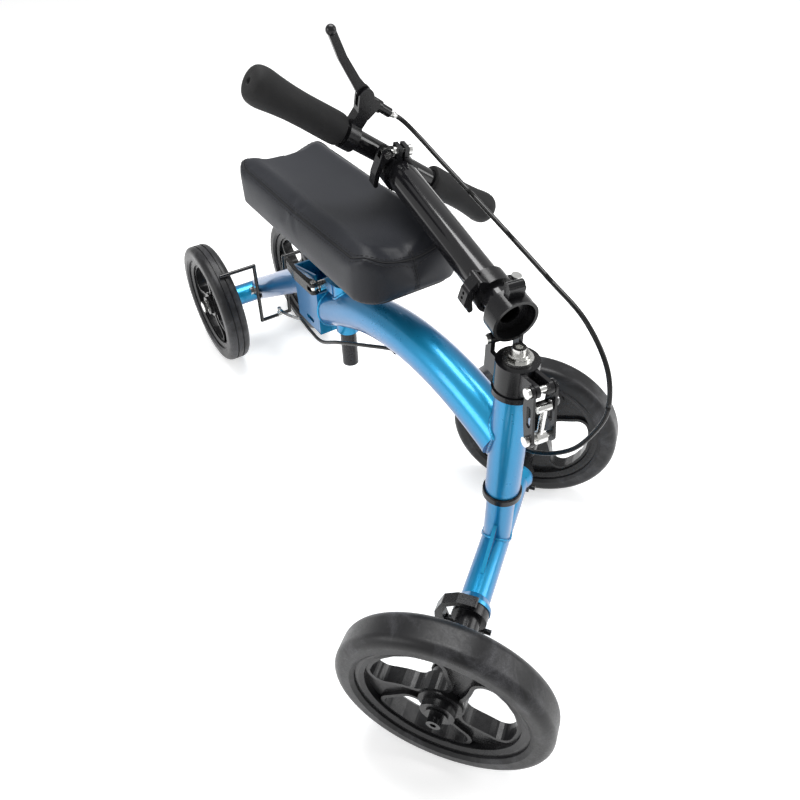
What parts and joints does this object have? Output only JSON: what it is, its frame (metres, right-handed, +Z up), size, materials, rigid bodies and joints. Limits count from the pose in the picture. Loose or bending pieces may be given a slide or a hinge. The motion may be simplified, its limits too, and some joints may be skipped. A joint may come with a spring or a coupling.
{
  "type": "knee scooter",
  "caption": "Folding knee scooter: arched frame, padded knee rest on a post, steerable front axle, rear tyre brake and a telescopic handlebar column folded back over the pad.",
  "frame": {"origin": "on the ground, midway between the ends of the scooter in length and width, with the column folded and the front wheels steered left as stored", "axes": "+X forward, +Y left, +Z up"},
  "size_m": [0.9616, 0.4626, 0.5873],
  "materials": {
    "blue_paint": "metallic candy blue lacquer",
    "black_paint": "gloss black powder coat",
    "black_casting": "satin black",
    "lever_black": "satin black coated lever",
    "zinc": "bright zinc plate",
    "post_steel": "bright plated tube",
    "cable_sleeve": "smooth black cable sleeve",
    "grip_foam": "matt dark grey grip",
    "wheel_plastic": "moulded dark grey",
    "tyre_rubber": "black polyurethane, slightly dusty",
    "pad_leatherette": "charcoal leatherette",
    "pad_board": "black painted board"
  },
  "bodies": {
    "frame": {"main_beam": "blue_paint", "head_tube": "blue_paint", "seat_tube": "blue_paint", "seat_bracket": "blue_paint", "rear_arm": "blue_paint", "rear_axle_tube": "blue_paint", "rear_axle": "zinc", "rear_axle_nuts": "zinc", "seat_clamp_bolt": "zinc", "headset_ring": "black_casting", "stem_base": "black_casting", "hinge_pin": "zinc", "latch_pin": "zinc", "brake_pivots": "zinc", "brake_cable": "cable_sleeve", "cable_clips": "cable_sleeve"},
    "fork": {"fork_stem": "blue_paint", "fork_cross_tube": "blue_paint", "steerer": "zinc", "steerer_bolt": "zinc", "end_collars": "blue_paint", "clamp_rings": "black_casting", "clamp_bolts": "lever_black", "front_stubs": "black_casting", "front_axle_bolts": "lever_black"},
    "front_wheel_left": {"front_rim_left": "wheel_plastic", "front_tyre_left": "tyre_rubber"},
    "front_wheel_right": {"front_rim_right": "wheel_plastic", "front_tyre_right": "tyre_rubber"},
    "rear_wheel_left": {"rear_rim_left": "wheel_plastic", "rear_tyre_left": "tyre_rubber"},
    "rear_wheel_right": {"rear_rim_right": "wheel_plastic", "rear_tyre_right": "tyre_rubber"},
    "column_foot": {"hinge_ring": "black_casting"},
    "column_lower": {"lower_column": "black_paint", "column_dog": "black_casting"},
    "column_upper": {"upper_column": "black_paint", "band_clamp": "black_casting", "band_bolt": "zinc", "top_clamp": "black_casting", "top_clamp_bolt": "zinc"},
    "handlebar": {"t_bar": "black_paint", "grips": "grip_foam", "lever_bracket": "black_casting", "barrel_adjuster": "lever_black"},
    "brake_lever": {"brake_lever": "lever_black"},
    "brake_bar": {"brake_bar": "black_paint", "cable_anchor": "zinc"},
    "seat": {"seat_post": "post_steel", "seat_plate": "black_casting", "seat_board": "pad_board", "knee_pad": "pad_leatherette", "seat_screws": "zinc"},
    "latch_lever": {"latch_lever": "black_casting"},
    "draw_bolt": {"draw_bolt": "zinc"},
    "seat_lever": {"seat_lever": "lever_black"},
    "band_lever": {"band_lever": "lever_black"},
    "top_lever": {"top_lever": "lever_black"},
    "hub_lever_left": {"hub_lever_left": "lever_black"},
    "hub_lever_right": {"hub_lever_right": "lever_black"}
  },
  "joints": [
    {"name": "steering", "type": "hinge", "parent": "frame", "child": "fork", "pos_m": [0.27216, 0, 0.2], "axis": [0, 0, 1], "range_deg": [-76.2, 3.8]},
    {"name": "front_wheel_left_spin", "type": "hinge", "parent": "fork", "child": "front_wheel_left", "pos_m": [0.15729, 0.15695, 0.108], "axis": [-0.5906, 0.807, 0], "continuous": true},
    {"name": "front_wheel_right_spin", "type": "hinge", "parent": "fork", "child": "front_wheel_right", "pos_m": [0.38703, -0.15695, 0.108], "axis": [-0.5906, 0.807, 0], "continuous": true},
    {"name": "rear_wheel_left_spin", "type": "hinge", "parent": "frame", "child": "rear_wheel_left", "pos_m": [-0.38084, 0.082, 0.1], "axis": [0, 1, 0], "continuous": true},
    {"name": "rear_wheel_right_spin", "type": "hinge", "parent": "frame", "child": "rear_wheel_right", "pos_m": [-0.38084, -0.082, 0.1], "axis": [0, 1, 0], "continuous": true},
    {"name": "column_fold", "type": "hinge", "parent": "frame", "child": "column_foot", "pos_m": [0.24846, 0.00375, 0.378], "axis": [0.1564, 0.9877, 0], "range_deg": [0, 81], "deforming": ["brake_cable"]},
    {"name": "handlebar_turn", "type": "hinge", "parent": "column_foot", "child": "column_lower", "pos_m": [0.24436, 0.0044, 0.40296], "axis": [-0.9755, 0.1545, 0.1564], "range_deg": [-40, 4]},
    {"name": "column_height", "type": "slide", "parent": "column_lower", "child": "column_upper", "axis": [-0.9755, 0.1545, 0.1564], "range_m": [0, 0.12]},
    {"name": "handlebar_height", "type": "slide", "parent": "column_upper", "child": "handlebar", "axis": [-0.9755, 0.1545, 0.1564], "range_m": [0, 0.12]},
    {"name": "brake_lever_squeeze", "type": "hinge", "parent": "handlebar", "child": "brake_lever", "pos_m": [-0.00791, 0.0173, 0.51746], "axis": [-0.9755, 0.1545, 0.1564], "range_deg": [0, 25], "stiffness_Nm_per_rad": 0.35},
    {"name": "rear_brake_swing", "type": "hinge", "parent": "frame", "child": "brake_bar", "pos_m": [-0.35384, 0, 0.118], "axis": [0, -1, 0], "range_deg": [0, 3]},
    {"name": "seat_height", "type": "slide", "parent": "frame", "child": "seat", "axis": [0, 0, 1], "range_m": [-0.035, 0.003]},
    {"name": "latch_swing", "type": "hinge", "parent": "frame", "child": "latch_lever", "pos_m": [0.31167, -0.00626, 0.362], "axis": [-0.1564, -0.9877, 0], "range_deg": [0, 100]},
    {"name": "draw_bolt_swing", "type": "hinge", "parent": "latch_lever", "child": "draw_bolt", "pos_m": [0.31858, -0.00735, 0.311], "axis": [0.1564, 0.9877, 0], "range_deg": [-6, 60]},
    {"name": "seat_clamp_cam", "type": "hinge", "parent": "frame", "child": "seat_lever", "pos_m": [-0.08284, -0.031, 0.2665], "axis": [0, 0, 1], "range_deg": [0, 120]},
    {"name": "band_clamp_flip", "type": "hinge", "parent": "column_upper", "child": "band_lever", "pos_m": [0.21813, -0.00772, 0.42394], "axis": [-0.9755, 0.1545, 0.1564], "range_deg": [0, 60]},
    {"name": "top_clamp_cam", "type": "hinge", "parent": "column_upper", "child": "top_lever", "pos_m": [0.01749, 0.02427, 0.46443], "axis": [-0.9755, 0.1545, 0.1564], "range_deg": [0, 110]},
    {"name": "hub_clamp_left_cam", "type": "hinge", "parent": "fork", "child": "hub_lever_left", "pos_m": [0.18547, 0.06766, 0.086], "axis": [0.5906, -0.807, 0], "range_deg": [0, 100]},
    {"name": "hub_clamp_right_cam", "type": "hinge", "parent": "fork", "child": "hub_lever_right", "pos_m": [0.31044, -0.10309, 0.086], "axis": [0.5906, -0.807, 0], "range_deg": [0, 100]}
  ],
  "couplings": [
    {"joint": "rear_brake_swing", "follows": "brake_lever_squeeze", "ratio": 0.12}
  ]
}
